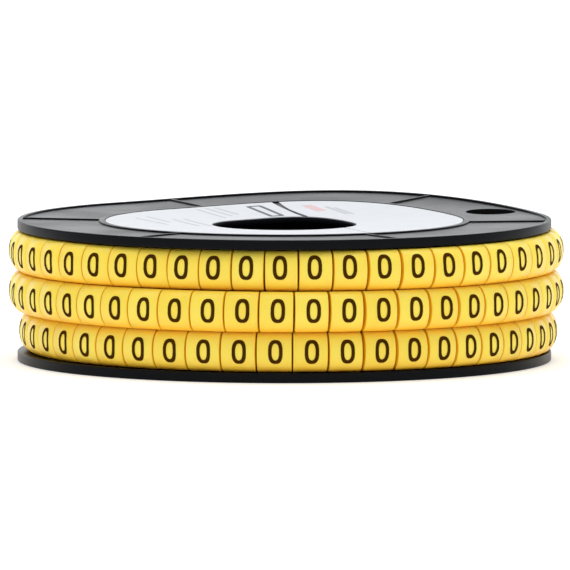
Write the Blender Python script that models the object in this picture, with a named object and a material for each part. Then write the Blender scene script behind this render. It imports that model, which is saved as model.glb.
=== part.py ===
"""A reel of cable marker strip.

A thin black reel in two mouldings lies flat on its lower disc. Its drum is wound with soft yellow
strip: an oval tube cut nearly through at every marker, so that one marker after another can be torn
off and pushed over a wire. The strip lies in rows side by side, and steps down from one row to the
next at the rear. Lengths are in metres, +Z is up, and the origin is on the reel's axis in the plane
that it stands on.
"""

import math
import random
from collections import namedtuple

import bmesh
import bpy
from mathutils import Vector

# Disc of either half. Depths are measured from the plane of the lip inwards.
FLANGE_RADIUS = 0.0550
RIM_THICKNESS = 0.0020
RIM_CHAMFER = 0.0003
LIP_WIDTH = 0.0011
LIP_HEIGHT = 0.00045
RING_WIDTH = 0.0012
RING_DROP = 0.00025  # the ring's top lies this far under the lip's, as the disc is slightly dished
RIB_COUNT = 6
RIB_WIDTH = 0.0009
RIB_HEIGHT = 0.0004
RIB_TURN = math.radians(-4.0)
BORE_RADIUS = 0.01475
HUB_EDGE = 0.0010  # wall at the edge of the spindle hole

# Hole through which the strip's inner end can be seen and caught
STRIP_HOLE_RADIUS = 0.00515
STRIP_HOLE_EDGE = 0.00125  # face left between the hole and the lip
STRIP_HOLE_ANGLE = math.radians(26.0)

# The upper disc is bent up at the rear right, most at its rim
LIFT = 0.0017
LIFT_ANGLE = math.radians(72.0)
LIFT_SPREAD = math.radians(58.0)

# Paper label in its seat
LABEL_RADIUS = 0.0368
LABEL_THICKNESS = 0.00015
LABEL_BED = 0.0001  # adhesive under the paper
LABEL_SINK = 0.0001  # paper under the ring's top
LABEL_DISH = 0.00085  # the seat falls this far towards the spindle hole
LABEL_MARGIN = 0.0002  # between the paper's edge and the ring
LABEL_BORE_MARGIN = 0.00015  # between the paper's hole and the spindle hole

# The label was cut open on one side to go round its hole, and the cut has sprung a little apart
CUT_OUTER_ANGLE = math.radians(94.0)
CUT_INNER_ANGLE = math.radians(69.5)
CUT_OUTER_WIDTH = 0.0010
CUT_MIDDLE_WIDTH = 0.0003
CUT_INNER_WIDTH = 0.0007

# Drum: the upper half's sleeve goes over the lower half's, and a bead in a groove holds them
DRUM_RADIUS = 0.0383
DRUM_WALL = 0.0016
SLEEVE_WALL = 0.0012
SLEEVE_HEIGHT = 0.0120
SLEEVE_CLEARANCE = 0.0003
SEAT_CLEARANCE = 0.0003
BEAD_HEIGHT = 0.0005
BEAD_DROP = 0.0020  # the bead's crest under the top of its sleeve
BEAD_LENGTH = 0.0012
SLOT_COUNT = 6
SLOT_WIDTH = 0.0015
SLOT_DEPTH = 0.0080

# Marker strip
ROWS = 3
LAYERS = 3
MARKER_WIDTH = 0.00822
MARKER_HEIGHT = 0.0062
MARKER_CROWN = 0.0026  # how far the printed face bulges out of the flat sides
MARKER_PITCH = 0.00653  # along the uncut web
MARKER_WALL = 0.0010
WEB_THICKNESS = 0.0009
KERF_ROOT = 0.0001  # width of the cut at the web
KERF_FACE = 0.0005  # width of the opened cut at the printed face
KERF_SPREAD = 0.0002
MARKER_LEAN = math.radians(1.2)
ROW_CLEARANCE = 0.00005
TOP_CLEARANCE = 0.00027  # between the strip and the upper disc
BOTTOM_CLEARANCE = 0.00008  # between the strip and the lower disc, which it lies on
WINDING_CLEARANCE = 0.0003  # between the strip and the drum
LAST_ROW_DROP = 0.0017  # the last row is pulled tighter than the others
ROW_SHIFT = 0.0004  # the rows sit this far off the axis, to the right
LAST_ROW_SHIFT = 0.0008

# The top row is pressed in at the front, and its markers are pushed together there
DENT = 0.0022
DENT_ANGLE = math.radians(260.0)
DENT_SPREAD = math.radians(50.0)
DENT_SQUASH = 0.025  # by this share the markers are nearer to each other

# Rear of the winding, where the strip steps from row to row
CROSSING_ANGLE = math.radians(73.5)
CROSSING_SPAN = math.radians(46.0)
CROSSING_SQUEEZE = 0.0003  # the strip is this much narrower in a crossing
DIVE_SPAN = math.radians(26.0)  # the last row goes under the others over this angle
FREE_END = CROSSING_SPAN + math.radians(1.2)  # the strip's free end lies just past the first crossing

# Where the strip is at one angle: its middle height, printed face, distance off the axis, width and
# how far it is pressed in
Station = namedtuple("Station", "height radius shift width dent")

# Fineness
DISC_STEPS = 64
CORE_STEPS = 48
FACE_STEPS = 6  # straight runs round the outer half of a marker's section
HOLE_STEPS = 24
BORE_STEPS = 12
BORE_STATIONS = 6
BORE_MARKERS = 2.5  # how many markers of the free end are open
WELD = 0.00002

# Worked out from the sizes above
STRIP_SPAN = ROWS * MARKER_WIDTH + (ROWS - 1) * ROW_CLEARANCE
STRIP_MIDDLE = RIM_THICKNESS + BOTTOM_CLEARANCE + STRIP_SPAN / 2
REEL_HEIGHT = STRIP_SPAN + TOP_CLEARANCE + BOTTOM_CLEARANCE + 2 * RIM_THICKNESS
ROW_PITCH = MARKER_WIDTH + ROW_CLEARANCE
LAYER_BOTTOM = DRUM_RADIUS + WINDING_CLEARANCE
WINDING_RADIUS = LAYER_BOTTOM + LAYERS * MARKER_HEIGHT
MARKER_ANGLE = MARKER_PITCH / (WINDING_RADIUS - MARKER_HEIGHT)
SEAT_RADIUS = LABEL_RADIUS + LABEL_MARGIN
RING_RADIUS = SEAT_RADIUS + RING_WIDTH
SEAT_DEPTH = RING_DROP + LABEL_SINK + LABEL_THICKNESS + LABEL_BED
SLEEVE_RADIUS = DRUM_RADIUS - DRUM_WALL - SLEEVE_CLEARANCE
FOOT_RADIUS = WINDING_RADIUS - MARKER_HEIGHT - 3 * WEB_THICKNESS


def clear_scene():
    for thing in list(bpy.data.objects):
        bpy.data.objects.remove(thing, do_unlink=True)


def plain_material(name, colour, roughness):
    made = bpy.data.materials.new(name)
    made.use_nodes = True
    shader = made.node_tree.nodes["Principled BSDF"]
    shader.inputs["Base Color"].default_value = (*colour, 1.0)
    shader.inputs["Roughness"].default_value = roughness
    shader.inputs["Metallic"].default_value = 0.0
    return made


def mesh_object(name, bm, material=None):
    """Turns a bmesh into an object, with its faces outward and its round sides smooth."""
    bmesh.ops.recalc_face_normals(bm, faces=bm.faces[:])
    mesh = bpy.data.meshes.new(name)
    bm.to_mesh(mesh)
    bm.free()
    mesh.shade_smooth()
    mesh.set_sharp_from_angle(angle=math.radians(35))
    if material:
        mesh.materials.append(material)
    made = bpy.data.objects.new(name, mesh)
    bpy.context.scene.collection.objects.link(made)
    return made


def join_or_cut(target, tool, operation):
    """Joins a tool object to the target, or cuts it out, and keeps the tool out of the model."""
    change = target.modifiers.new(tool.name, "BOOLEAN")
    change.operation = operation
    change.solver = "EXACT"
    change.object = tool
    tool.hide_render = True
    tool.display_type = "WIRE"


def turned(profile, steps):
    """Turns a closed outline of (radius, height) points once round the axis."""
    bm = bmesh.new()
    verts = [bm.verts.new((radius, 0.0, height)) for radius, height in profile]
    edges = [bm.edges.new((a, b)) for a, b in zip(verts, verts[1:] + verts[:1])]
    bmesh.ops.spin(bm, geom=verts + edges, cent=(0, 0, 0), axis=(0, 0, 1), dvec=(0, 0, 0),
                   angle=2 * math.pi, steps=steps, use_merge=True, use_duplicate=False)
    bmesh.ops.remove_doubles(bm, verts=bm.verts[:], dist=WELD)
    return bm


def lift_at(x, y):
    """How far the bent upper disc stands up over a point."""
    away = abs(math.remainder(math.atan2(y, x) - LIFT_ANGLE, 2 * math.pi))
    if away >= LIFT_SPREAD:
        return 0.0
    swell = (1 + math.cos(math.pi * away / LIFT_SPREAD)) / 2
    return LIFT * swell * math.hypot(x, y) / FLANGE_RADIUS


def bend_disc(bm):
    """Bends up what belongs to the upper disc, and leaves the drum under it straight."""
    hub_depth = SEAT_DEPTH + LABEL_DISH + HUB_EDGE
    disc_bottom = REEL_HEIGHT - max(RIM_THICKNESS, hub_depth) - WELD
    for vert in bm.verts:
        if vert.co.z > disc_bottom:
            vert.co.z += lift_at(vert.co.x, vert.co.y)


def disc_outline():
    """Outer face and rim of either disc as (radius, depth) points, from the bore to the rim's foot."""
    lip_inside = FLANGE_RADIUS - LIP_WIDTH
    return [
        (BORE_RADIUS, SEAT_DEPTH + LABEL_DISH + HUB_EDGE),
        (BORE_RADIUS, SEAT_DEPTH + LABEL_DISH),
        (SEAT_RADIUS, SEAT_DEPTH),
        (SEAT_RADIUS, RING_DROP),
        (RING_RADIUS, RING_DROP),
        (RING_RADIUS, RING_DROP + LIP_HEIGHT),
        (lip_inside, LIP_HEIGHT),
        (lip_inside, 0.0),
        (FLANGE_RADIUS - RIM_CHAMFER, 0.0),
        (FLANGE_RADIUS, RIM_CHAMFER),
        (FLANGE_RADIUS, RIM_THICKNESS - RIM_CHAMFER),
        (FLANGE_RADIUS - RIM_CHAMFER, RIM_THICKNESS),
    ]


def upper_outline():
    """Section of the upper half: its disc, and the outer sleeve with the groove for the bead."""
    foot = RIM_THICKNESS + SEAT_CLEARANCE
    inside = DRUM_RADIUS - DRUM_WALL
    groove = inside + BEAD_HEIGHT
    crest = RIM_THICKNESS + SLEEVE_HEIGHT - BEAD_DROP
    half_mouth = BEAD_LENGTH / 2 + SLEEVE_CLEARANCE
    disc = [(radius, REEL_HEIGHT - depth) for radius, depth in disc_outline()]
    return disc + [
        (DRUM_RADIUS, REEL_HEIGHT - RIM_THICKNESS),
        (DRUM_RADIUS, foot),
        (inside, foot),
        (inside, crest - half_mouth),
        (groove, crest),
        (inside, crest + half_mouth),
        (inside, REEL_HEIGHT - RIM_THICKNESS),
    ]


def lower_outline():
    """Section of the lower half: its disc, and the inner sleeve with the bead."""
    inside = SLEEVE_RADIUS - SLEEVE_WALL
    top = RIM_THICKNESS + SLEEVE_HEIGHT
    crest = top - BEAD_DROP
    disc = [(radius, depth) for radius, depth in disc_outline()]
    return disc + [
        (SLEEVE_RADIUS, RIM_THICKNESS),
        (SLEEVE_RADIUS, crest - BEAD_LENGTH / 2),
        (SLEEVE_RADIUS + BEAD_HEIGHT, crest),
        (SLEEVE_RADIUS, crest + BEAD_LENGTH / 2),
        (SLEEVE_RADIUS - SLEEVE_WALL / 3, top),
        (inside, top),
        (inside, RIM_THICKNESS),
    ]


def disc_ribs(name, upper):
    """The radial ribs of one disc, from its ring to its lip, as one tool."""
    start = RING_RADIUS - RING_WIDTH / 2
    end = FLANGE_RADIUS - LIP_WIDTH / 2
    sink = LIP_HEIGHT - RIB_HEIGHT
    bm = bmesh.new()
    for number in range(RIB_COUNT):
        turn = RIB_TURN + number * 2 * math.pi / RIB_COUNT
        along = Vector((math.cos(turn), math.sin(turn), 0))
        across = Vector((-math.sin(turn), math.cos(turn), 0))
        ends = []
        for radius, drop in ((start, RING_DROP), (end, 0.0)):
            corners = []
            for side, depth in ((-0.5, 2 * LIP_HEIGHT), (0.5, 2 * LIP_HEIGHT), (0.35, sink), (-0.35, sink)):
                height = REEL_HEIGHT - drop - depth if upper else drop + depth
                place = along * radius + across * (side * RIB_WIDTH)
                corners.append(bm.verts.new((place.x, place.y, height)))
            ends.append(corners)
        bm.faces.new(ends[0])
        bm.faces.new(ends[1])
        for here in range(4):
            after = (here + 1) % 4
            bm.faces.new((ends[0][here], ends[0][after], ends[1][after], ends[1][here]))
    if upper:
        bend_disc(bm)
    return mesh_object(name, bm)


def round_tool(name, radius, place, bottom, top):
    """An upright cylinder for cutting a round hole."""
    bm = bmesh.new()
    bmesh.ops.create_cone(bm, cap_ends=True, segments=HOLE_STEPS, radius1=radius, radius2=radius,
                          depth=top - bottom)
    bmesh.ops.translate(bm, verts=bm.verts[:], vec=(place.x, place.y, (bottom + top) / 2))
    return mesh_object(name, bm)


def sleeve_slots():
    """The cuts that let the lower half's sleeve spring, as one tool."""
    top = RIM_THICKNESS + SLEEVE_HEIGHT
    reach = 3 * SLEEVE_WALL
    bm = bmesh.new()
    for number in range(SLOT_COUNT):
        box = bmesh.ops.create_cube(bm, size=1.0)["verts"]
        bmesh.ops.scale(bm, verts=box, vec=(reach, SLOT_WIDTH, 2 * SLOT_DEPTH))
        bmesh.ops.translate(bm, verts=box, vec=(SLEEVE_RADIUS - SLEEVE_WALL / 2, 0, top))
        turn = (number + 0.5) * 2 * math.pi / SLOT_COUNT
        spun = Vector((math.cos(turn), math.sin(turn)))
        for vert in box:
            x, y = vert.co.x, vert.co.y
            vert.co.x, vert.co.y = x * spun.x - y * spun.y, x * spun.y + y * spun.x
    return mesh_object("sleeve_slots", bm)


def make_upper_half(material):
    bm = turned(upper_outline(), DISC_STEPS)
    bend_disc(bm)
    half = mesh_object("reel_upper_half", bm, material)
    join_or_cut(half, disc_ribs("upper_ribs", True), "UNION")
    reach = FLANGE_RADIUS - LIP_WIDTH - STRIP_HOLE_EDGE - STRIP_HOLE_RADIUS
    place = Vector((math.cos(STRIP_HOLE_ANGLE), math.sin(STRIP_HOLE_ANGLE))) * reach
    bottom = REEL_HEIGHT - 2 * RIM_THICKNESS
    tool = round_tool("strip_hole", STRIP_HOLE_RADIUS, place, bottom, REEL_HEIGHT + RIM_THICKNESS + LIFT)
    join_or_cut(half, tool, "DIFFERENCE")


def make_lower_half(material):
    half = mesh_object("reel_lower_half", turned(lower_outline(), DISC_STEPS), material)
    join_or_cut(half, disc_ribs("lower_ribs", False), "UNION")
    join_or_cut(half, sleeve_slots(), "DIFFERENCE")


def label_cut():
    """The opened cut, a narrow upright wedge from the label's edge to its hole, as a tool."""
    outer = Vector((math.cos(CUT_OUTER_ANGLE), math.sin(CUT_OUTER_ANGLE), 0)) * SEAT_RADIUS
    inner = Vector((math.cos(CUT_INNER_ANGLE), math.sin(CUT_INNER_ANGLE), 0)) * BORE_RADIUS
    side = Vector((outer.y - inner.y, inner.x - outer.x, 0)).normalized()
    widths = ((0.0, CUT_OUTER_WIDTH), (0.5, CUT_MIDDLE_WIDTH), (1.0, CUT_INNER_WIDTH))
    bottom = Vector((0, 0, REEL_HEIGHT - RIM_THICKNESS - LABEL_DISH))
    bm = bmesh.new()
    left = [bm.verts.new(outer.lerp(inner, share) + bottom - side * width / 2) for share, width in widths]
    right = [bm.verts.new(outer.lerp(inner, share) + bottom + side * width / 2) for share, width in widths]
    bm.faces.new(left + right[::-1])
    raised = bmesh.ops.extrude_face_region(bm, geom=bm.faces[:])["geom"]
    raised = [item for item in raised if isinstance(item, bmesh.types.BMVert)]
    bmesh.ops.translate(bm, verts=raised, vec=(0, 0, 2 * RIM_THICKNESS + LABEL_DISH + LIFT))
    return mesh_object("label_cut", bm)


def make_label(material):
    """A thin ring that follows the dished seat, bent up with the disc and cut open at the rear."""
    edge = REEL_HEIGHT - RING_DROP - LABEL_SINK
    inner = BORE_RADIUS + LABEL_BORE_MARGIN
    slope = LABEL_DISH / (SEAT_RADIUS - BORE_RADIUS)
    outer_top = edge - slope * LABEL_MARGIN
    inner_top = outer_top - slope * (LABEL_RADIUS - inner)
    bm = turned([
        (inner, inner_top - LABEL_THICKNESS),
        (inner, inner_top),
        (LABEL_RADIUS, outer_top),
        (LABEL_RADIUS, outer_top - LABEL_THICKNESS),
    ], DISC_STEPS)
    bend_disc(bm)
    label = mesh_object("label", bm, material)
    join_or_cut(label, label_cut(), "DIFFERENCE")


def smooth(share):
    share = min(max(share, 0.0), 1.0)
    return share * share * (3 - 2 * share)


def row_height(row):
    """Height of a row's middle, counted from the top row."""
    return STRIP_MIDDLE + STRIP_SPAN / 2 - MARKER_WIDTH / 2 - row * ROW_PITCH


def crossing_start():
    return CROSSING_ANGLE - CROSSING_SPAN / 2


def dent_at(turn):
    """How far the first turn, which is the top row, is pressed in."""
    away = abs(crossing_start() + turn - DENT_ANGLE)
    return DENT * (1 + math.cos(math.pi * away / DENT_SPREAD)) / 2 if away < DENT_SPREAD else 0.0


def outer_path(turn):
    """The station of the outermost turns at an angle counted from the start of the crossings.

    Row 0 begins where the first crossing ends, each later crossing steps down one row, and the last
    row dives under the others before it would meet the crossings again.
    """
    turns_done = int(turn / (2 * math.pi))
    past = turn - turns_done * 2 * math.pi
    level = min(max(turns_done - 1 + smooth(past / CROSSING_SPAN), 0.0), ROWS - 1)
    last = min(max(level - (ROWS - 2), 0.0), 1.0)
    shift = ROW_SHIFT + (LAST_ROW_SHIFT - ROW_SHIFT) * last
    radius = WINDING_RADIUS - LAST_ROW_DROP * last
    dive = smooth((turn - ROWS * 2 * math.pi + DIVE_SPAN) / DIVE_SPAN)
    radius -= (radius - WINDING_RADIUS + MARKER_HEIGHT) * dive
    away = min(max(past - CROSSING_SPAN, 0.0), 2 * math.pi - past)
    squeeze = CROSSING_SQUEEZE * max(1 - away / MARKER_ANGLE, 0.0)
    dent = dent_at(turn)
    return Station(row_height(level), radius - dent, shift, MARKER_WIDTH - squeeze, dent)


def marker_outline(station):
    """Section of a marker as (across, radius) points, round on its printed side.

    The first two and the last two points lie on the web, which goes on from marker to marker. The
    foot goes down into the turns underneath, which are one body with it.
    """
    half = station.width / 2
    shoulder = station.radius - MARKER_CROWN
    web = station.radius - MARKER_HEIGHT + WEB_THICKNESS
    foot = min(FOOT_RADIUS, station.radius - MARKER_HEIGHT)
    points = [(-half, foot), (-half, web)]
    for step in range(FACE_STEPS + 1):
        angle = math.pi * (1 - step / FACE_STEPS)
        points.append((math.cos(angle) * half, shoulder + math.sin(angle) * MARKER_CROWN))
    return points + [(half, web), (half, foot)]


def marker_end(bm, station, turn, side, kerf, lean):
    """One end of a marker as a ring of vertices; side is -1 at its first end and 1 at its last."""
    root = station.radius - MARKER_HEIGHT
    ring = []
    for across, reach in marker_outline(station):
        share = min(max((reach - root) / MARKER_HEIGHT, 0.0), 1.0)
        half_cut = (KERF_ROOT + (kerf - KERF_ROOT) * share) / 2
        slant = math.tan(lean) * across * share
        angle = crossing_start() + turn + (slant - side * half_cut) / reach
        place = (math.cos(angle) * reach + station.shift, math.sin(angle) * reach, station.height + across)
        ring.append(bm.verts.new(place))
    return ring


def marker_step(station):
    """The angle that one marker takes at a station."""
    along = MARKER_PITCH * (1 - DENT_SQUASH * station.dent / DENT)
    return along / (station.radius + station.dent - MARKER_HEIGHT)


def strip_run(name, path, start, end, rng):
    """A run of strip along a path: markers in a line, joined by the web at their feet."""
    bm = bmesh.new()
    web_before = None
    turn = start
    step = marker_step(path(start))
    while turn + step <= end:
        kerf = KERF_FACE + rng.uniform(-1, 1) * KERF_SPREAD
        lean = rng.uniform(-1, 1) * MARKER_LEAN
        first = marker_end(bm, path(turn), turn, -1, kerf, lean)
        last = marker_end(bm, path(turn + step), turn + step, 1, kerf, lean)
        skin_between(bm, first, last)
        bm.faces.new(first[1:-1])
        bm.faces.new(last[1:-1])
        web = first[:2] + first[-2:]
        if web_before:
            skin_between(bm, web_before, web)
        else:
            bm.faces.new(web)
        web_before = last[:2] + last[-2:]
        turn += step
        step = marker_step(path(turn))
    bm.faces.new(web_before)
    return mesh_object(name, bm)


def skin_between(bm, ring, after):
    for here in range(len(ring)):
        there = (here + 1) % len(ring)
        bm.faces.new((ring[here], ring[there], after[there], after[here]))


def under_path(row, shift):
    """Path of the layer under the outermost one, in one row."""
    def path(turn):
        return Station(row_height(row), WINDING_RADIUS - MARKER_HEIGHT, shift, MARKER_WIDTH, 0.0)
    return path


def free_end_bore():
    """The tube's bore in the strip's free end, as a tool that follows the winding."""
    half_width = MARKER_WIDTH / 2 - MARKER_WALL
    half_height = MARKER_HEIGHT / 2 - MARKER_WALL
    bm = bmesh.new()
    rings = []
    for number in range(BORE_STATIONS):
        markers_in = (number - 0.5) * BORE_MARKERS / (BORE_STATIONS - 1)
        turn = FREE_END + MARKER_ANGLE * markers_in
        station = outer_path(max(turn, FREE_END))
        middle = station.radius - MARKER_HEIGHT / 2
        angle = crossing_start() + turn
        ring = []
        for corner in range(BORE_STEPS):
            around = 2 * math.pi * corner / BORE_STEPS
            reach = middle + math.sin(around) * half_height
            ring.append(bm.verts.new((math.cos(angle) * reach + station.shift, math.sin(angle) * reach,
                                      station.height + math.cos(around) * half_width)))
        rings.append(ring)
    bm.faces.new(rings[0])
    bm.faces.new(rings[-1])
    for ring, after in zip(rings, rings[1:]):
        skin_between(bm, ring, after)
    return mesh_object("free_end_bore", bm)


def inner_turns_outline():
    """Section of the hidden inner turns as (radius, height) points, bulged at each layer's side."""
    full = STRIP_SPAN / 2 - ROW_CLEARANCE
    pinch = full - MARKER_WALL
    side = []
    for layer in range(LAYERS - 1):
        foot = LAYER_BOTTOM + layer * MARKER_HEIGHT
        side += [(foot, pinch), (foot + MARKER_HEIGHT / 2, full)]
    side.append((FOOT_RADIUS + WEB_THICKNESS, full - MARKER_WALL / 2))
    return ([(r, STRIP_MIDDLE - z) for r, z in side]
            + [(r, STRIP_MIDDLE + z) for r, z in reversed(side)])


def make_strip(material):
    """The wound strip: hidden inner turns, what shows of the second layer, and the outermost turns."""
    rng = random.Random(5)
    strip = mesh_object("marker_strip", turned(inner_turns_outline(), CORE_STEPS), material)
    margin = MARKER_PITCH / WINDING_RADIUS
    ends = (("under_first_row", 0, ROW_SHIFT), ("under_last_row", ROWS - 1, LAST_ROW_SHIFT))
    for name, row, shift in ends:
        run = strip_run(name, under_path(row, shift), -margin, CROSSING_SPAN + margin, rng)
        join_or_cut(strip, run, "UNION")
    outer = strip_run("outer_turns", outer_path, FREE_END, ROWS * 2 * math.pi, rng)
    join_or_cut(strip, outer, "UNION")
    join_or_cut(strip, free_end_bore(), "DIFFERENCE")


def main():
    clear_scene()
    black = plain_material("black_plastic", (0.012, 0.013, 0.015), 0.35)
    yellow = plain_material("yellow_pvc", (0.93, 0.60, 0.05), 0.40)
    paper = plain_material("white_paper", (0.85, 0.87, 0.90), 0.60)
    make_upper_half(black)
    make_lower_half(black)
    make_label(paper)
    make_strip(yellow)


main()
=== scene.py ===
# %% [markdown]
# # Reel of cable marker strip
# A black reel lies flat and carries three rows of yellow marker strip: a soft oval tube that is
# cut nearly through every few millimetres, so that one numbered marker after another can be torn
# off. The solids from the CAD are loaded first, because every piece below takes its place from
# them. Blender works in metres, so a millimetre is written as 0.001.

# %% The frame
import math
import random
from collections import namedtuple

import bmesh
import bpy
from mathutils import Matrix, Vector


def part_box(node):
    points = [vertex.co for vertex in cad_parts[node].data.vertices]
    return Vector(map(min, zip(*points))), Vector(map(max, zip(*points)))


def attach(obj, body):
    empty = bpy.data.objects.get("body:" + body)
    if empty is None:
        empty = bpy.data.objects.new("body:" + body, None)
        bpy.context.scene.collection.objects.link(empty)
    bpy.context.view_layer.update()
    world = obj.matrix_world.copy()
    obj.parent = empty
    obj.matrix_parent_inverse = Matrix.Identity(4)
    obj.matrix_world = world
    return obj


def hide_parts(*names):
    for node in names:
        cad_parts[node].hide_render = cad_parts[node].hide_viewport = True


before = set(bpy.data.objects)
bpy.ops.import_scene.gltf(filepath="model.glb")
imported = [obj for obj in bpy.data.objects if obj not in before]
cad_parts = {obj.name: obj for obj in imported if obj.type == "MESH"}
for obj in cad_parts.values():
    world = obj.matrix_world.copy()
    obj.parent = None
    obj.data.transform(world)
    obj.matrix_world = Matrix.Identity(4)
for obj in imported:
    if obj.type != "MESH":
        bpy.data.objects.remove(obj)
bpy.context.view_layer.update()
reel_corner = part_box("reel_lower_half")[1]
print("nodes", sorted(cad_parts), "reel radius", round(reel_corner.x, 4))

# %% [markdown]
# ## Camera
# The photo was taken from a long way off and from just above the reel's upper face. A far camera
# with a very long lens keeps the near and far rim almost the same width, which is why the disc
# looks like a thin ellipse. The aim point is half way up the reel, so the picture needs no shift.

# %% Camera
CAMERA_DISTANCE = 3.5
CAMERA_ELEVATION = math.radians(4.85)
SEEN_WIDTH = 0.117417  # what the picture's width spans at the reel's axis
AIM = Vector((0.000134, 0.0, 0.01536))

camera_data = bpy.data.cameras.new("camera")
camera_data.sensor_width = 36.0
camera_data.lens = camera_data.sensor_width * CAMERA_DISTANCE / SEEN_WIDTH
camera_data.clip_start = 0.1
camera_data.clip_end = 30.0
camera = bpy.data.objects.new("camera", camera_data)
bpy.context.scene.collection.objects.link(camera)
away = Vector((0.0, -math.cos(CAMERA_ELEVATION), math.sin(CAMERA_ELEVATION)))
camera.location = AIM + away * CAMERA_DISTANCE
camera.rotation_euler = away.to_track_quat("Z", "Y").to_euler()
bpy.context.scene.camera = camera
print("lens", round(camera_data.lens, 1), "mm")

# %% [markdown]
# ## Helpers
# Every piece ends the same way: its doubles are merged, its faces turned outward, its round sides
# shaded smooth, and it is hung on the frame. A shape that is all one turned section is spun from
# a flat outline. Bevelling the outline's corners before the spin rounds every edge of the ring at
# once, with an offset of its own for each corner. Each material helper adds one step to a
# material and gives back the socket that the next step is linked to.

# %% Helpers for shapes
WELD = 0.000004
WIDE_ROUND = 0.0002  # a rounding wider than this gets a facet more


def placed(name, data):
    """Puts a new object with this mesh or lamp in the scene."""
    made = bpy.data.objects.new(name, data)
    bpy.context.scene.collection.objects.link(made)
    return made


def distinct(items):
    """The items without repeats, in the order in which they come."""
    return list(dict.fromkeys(items))


def mesh_from(bm, name, material, sharp=math.radians(35)):
    bmesh.ops.remove_doubles(bm, verts=bm.verts[:], dist=WELD)
    bmesh.ops.recalc_face_normals(bm, faces=bm.faces[:])
    mesh = bpy.data.meshes.new(name)
    bm.to_mesh(mesh)
    bm.free()
    mesh.shade_smooth()
    mesh.set_sharp_from_angle(angle=sharp)
    mesh.materials.append(material)
    return mesh


def show(name, mesh, node=None):
    """Puts a finished mesh in the scene as a piece of the reel."""
    piece = placed(name, mesh)
    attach(piece, "root")
    if node:
        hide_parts(node)
    print(name, len(mesh.polygons), "faces")


def drawn_out(bm, faces):
    """Extrudes joined faces; gives back the new faces and vertices, and leaves no face inside."""
    rims = distinct(edge for face in faces for edge in face.edges)
    made = bmesh.ops.extrude_face_region(bm, geom=faces + rims)["geom"]
    return ([item for item in made if isinstance(item, bmesh.types.BMFace)],
            [item for item in made if isinstance(item, bmesh.types.BMVert)])


def loose_tool(name, bm):
    """A mesh that only cuts or joins another one; it is deleted afterwards."""
    bmesh.ops.recalc_face_normals(bm, faces=bm.faces[:])
    mesh = bpy.data.meshes.new(name)
    bm.to_mesh(mesh)
    bm.free()
    return placed(name, mesh)


def joined_or_cut(bm, tools):
    """Runs exact Booleans on a bmesh and gives the result back as a new bmesh."""
    body = loose_tool("body", bm)
    for tool, operation in tools:
        change = body.modifiers.new(tool.name, "BOOLEAN")
        change.operation = operation
        change.solver = "EXACT"
        change.object = tool
    graph = bpy.context.evaluated_depsgraph_get()
    result = bmesh.new()
    result.from_mesh(bpy.data.meshes.new_from_object(body.evaluated_get(graph)))
    for thing in [body] + [tool for tool, operation in tools]:
        bpy.data.objects.remove(thing, do_unlink=True)
    return result


def turned(corners, steps):
    """Spins a closed outline of (radius, height, corner rounding) points once round the axis."""
    bm = bmesh.new()
    points = [bm.verts.new((radius, 0.0, height)) for radius, height, rounding in corners]
    bm.faces.new(points)
    for point, (radius, height, rounding) in zip(points, corners):
        if rounding:
            segments = 3 if rounding > WIDE_ROUND else 2
            bmesh.ops.bevel(bm, geom=[point], offset=rounding, segments=segments, profile=0.5,
                            affect="VERTICES", material=-1)
    bmesh.ops.delete(bm, geom=bm.faces[:], context="FACES_ONLY")
    bmesh.ops.spin(bm, geom=bm.verts[:] + bm.edges[:], cent=(0, 0, 0), axis=(0, 0, 1),
                   dvec=(0, 0, 0), angle=2 * math.pi, steps=steps, use_merge=True,
                   use_duplicate=False)
    bmesh.ops.remove_doubles(bm, verts=bm.verts[:], dist=WELD)
    return bm


def weighted(name, mesh):
    """Makes flat faces shade flat beside their rounded edges."""
    holder = placed("holder", mesh)
    change = holder.modifiers.new("weighted_normal", "WEIGHTED_NORMAL")
    change.keep_sharp = True
    change.weight = 100
    graph = bpy.context.evaluated_depsgraph_get()
    finished = bpy.data.meshes.new_from_object(holder.evaluated_get(graph))
    finished.name = name
    bpy.data.objects.remove(holder, do_unlink=True)
    return finished


# %% Helpers for materials
def new_material(name, settings):
    """A material, and its main shader with these settings."""
    made = bpy.data.materials.new(name)
    made.use_nodes = True
    shader = made.node_tree.nodes["Principled BSDF"]
    for socket, value in settings.items():
        shader.inputs[socket].default_value = value
    print("material", name)
    return made, shader


def noise(material, scale, detail=2.0):
    """Cloudy noise that is fixed to the piece."""
    nodes, links = material.node_tree.nodes, material.node_tree.links
    place = nodes.new("ShaderNodeTexCoord")
    cloud = nodes.new("ShaderNodeTexNoise")
    cloud.inputs["Scale"].default_value = scale
    cloud.inputs["Detail"].default_value = detail
    links.new(place.outputs["Object"], cloud.inputs["Vector"])
    return cloud.outputs["Fac"]


def two_shades(material, source, dark, light, start=0.0, end=1.0):
    """A colour that goes from the dark to the light shade as the source goes from start to end."""
    ramp = material.node_tree.nodes.new("ShaderNodeValToRGB")
    for stop, place, shade in zip(ramp.color_ramp.elements, (start, end), (dark, light)):
        stop.position = place
        stop.color = (*shade, 1.0)
    material.node_tree.links.new(source, ramp.inputs["Fac"])
    return ramp.outputs["Color"]


def mixed(material, factor, colour, other):
    """One colour that gives way to another, plain one as the factor goes from 0 to 1."""
    mix = material.node_tree.nodes.new("ShaderNodeMix")
    mix.data_type = "RGBA"
    mix.inputs["B"].default_value = (*other, 1.0)
    material.node_tree.links.new(factor, mix.inputs["Factor"])
    material.node_tree.links.new(colour, mix.inputs["A"])
    return mix.outputs["Result"]


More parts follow.
